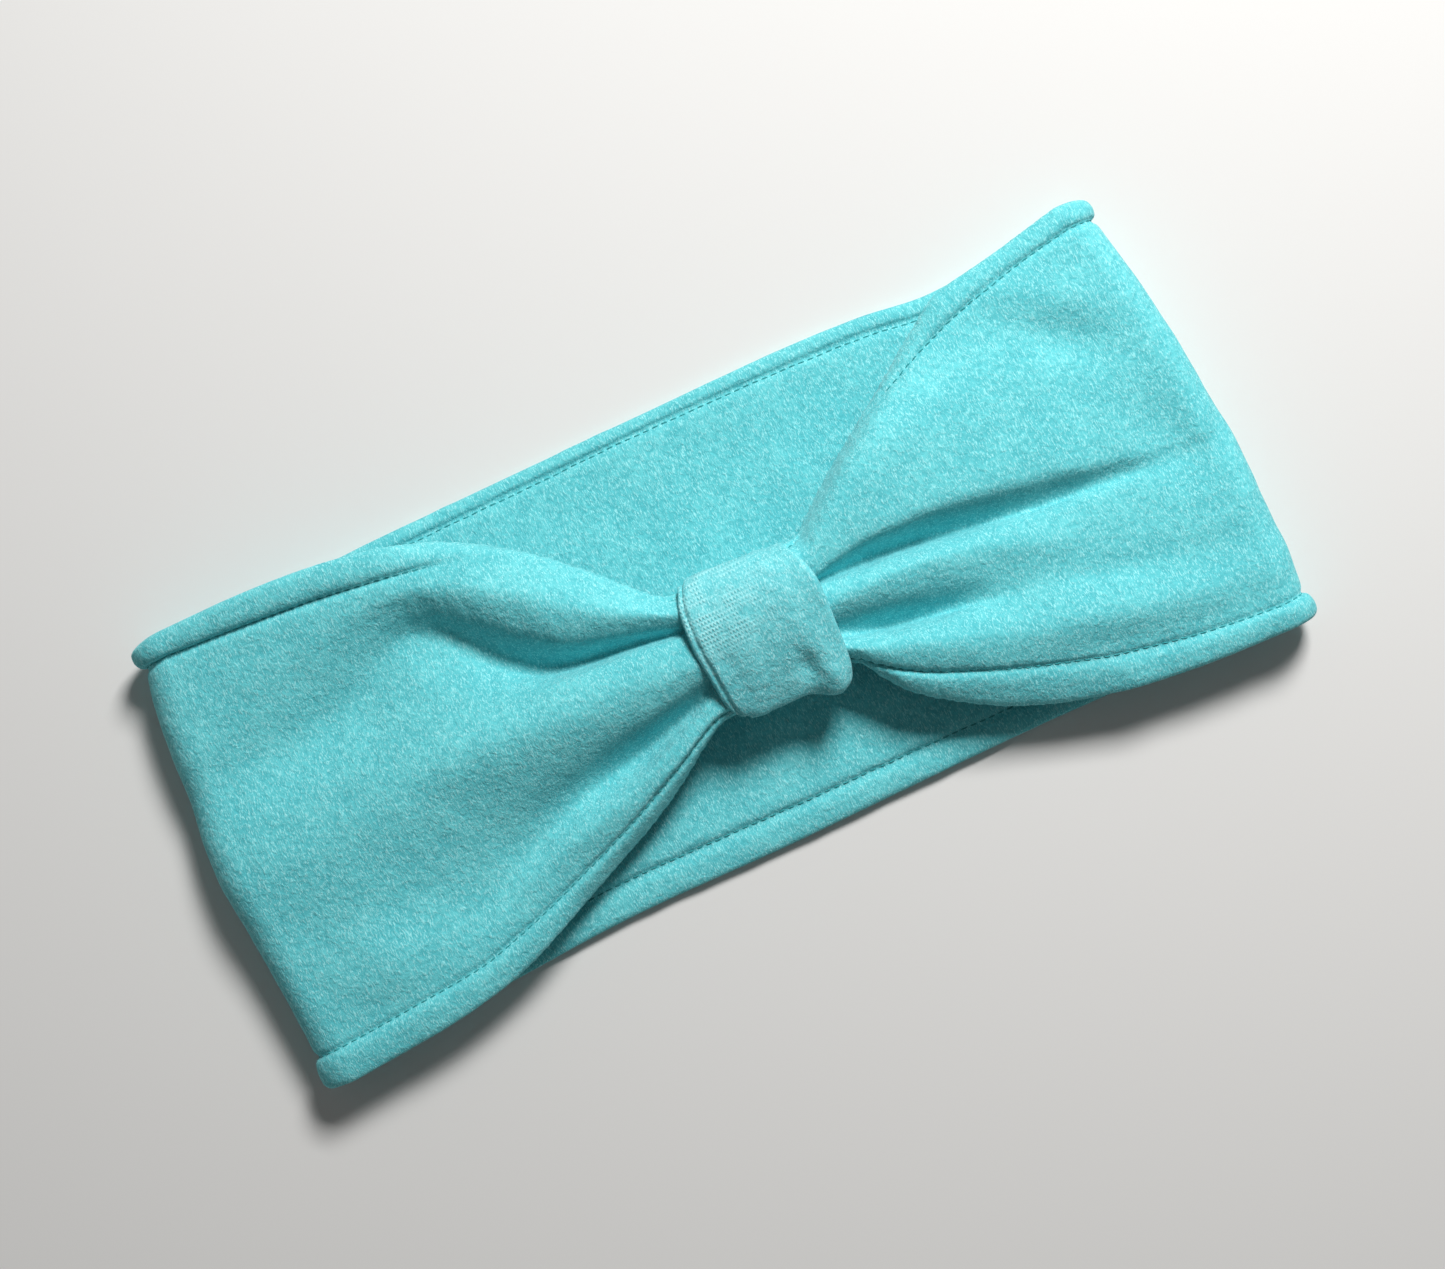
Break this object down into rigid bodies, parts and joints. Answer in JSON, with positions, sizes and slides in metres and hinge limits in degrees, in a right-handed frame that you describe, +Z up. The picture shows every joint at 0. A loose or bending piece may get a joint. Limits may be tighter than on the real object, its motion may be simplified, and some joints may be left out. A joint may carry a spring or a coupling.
{
  "type": "spa headband",
  "caption": "Closed fleece headband lying flat, its wide front gathered into a bow through a short wrapped knot, with padded topstitched hems.",
  "frame": {"origin": "on the surface the headband lies on, under the middle of the flat band", "axes": "+X along the band from side fold to side fold, +Y across its width towards the upper hem, +Z up through the gathered front"},
  "size_m": [0.2486, 0.1102, 0.0284],
  "materials": {
    "fleece_outer": "soft brushed polyester fleece, matt, mint turquoise",
    "fleece_lining": "soft brushed polyester fleece, matt, mint turquoise",
    "fleece_wrap": "the same fleece with its fine knit showing",
    "thread": "matt sewing thread, darker teal"
  },
  "bodies": {
    "band_back": {"outer_panel_back": "fleece_outer", "lining_panel_back": "fleece_lining", "upper_edge_seam_back": "thread", "lower_edge_seam_back": "thread", "upper_topstitch_back": "thread", "lower_topstitch_back": "thread"},
    "band_front": {"outer_panel_front": "fleece_outer", "lining_panel_front": "fleece_lining", "upper_edge_seam_front": "thread", "lower_edge_seam_front": "thread", "upper_topstitch_front": "thread", "lower_topstitch_front": "thread", "closing_seam": "thread"},
    "knot": {"knot_wrap": "fleece_wrap", "wrap_seam": "thread"}
  },
  "joints": [
    {"name": "loop_open", "type": "slide", "parent": "band_back", "child": "band_front", "axis": [0, 0, 1], "range_m": [0, 0.035], "stiffness_N_per_m": 200},
    {"name": "wrap_slide", "type": "slide", "parent": "band_front", "child": "knot", "axis": [1, 0, 0], "range_m": [-0.003, 0.003]}
  ]
}
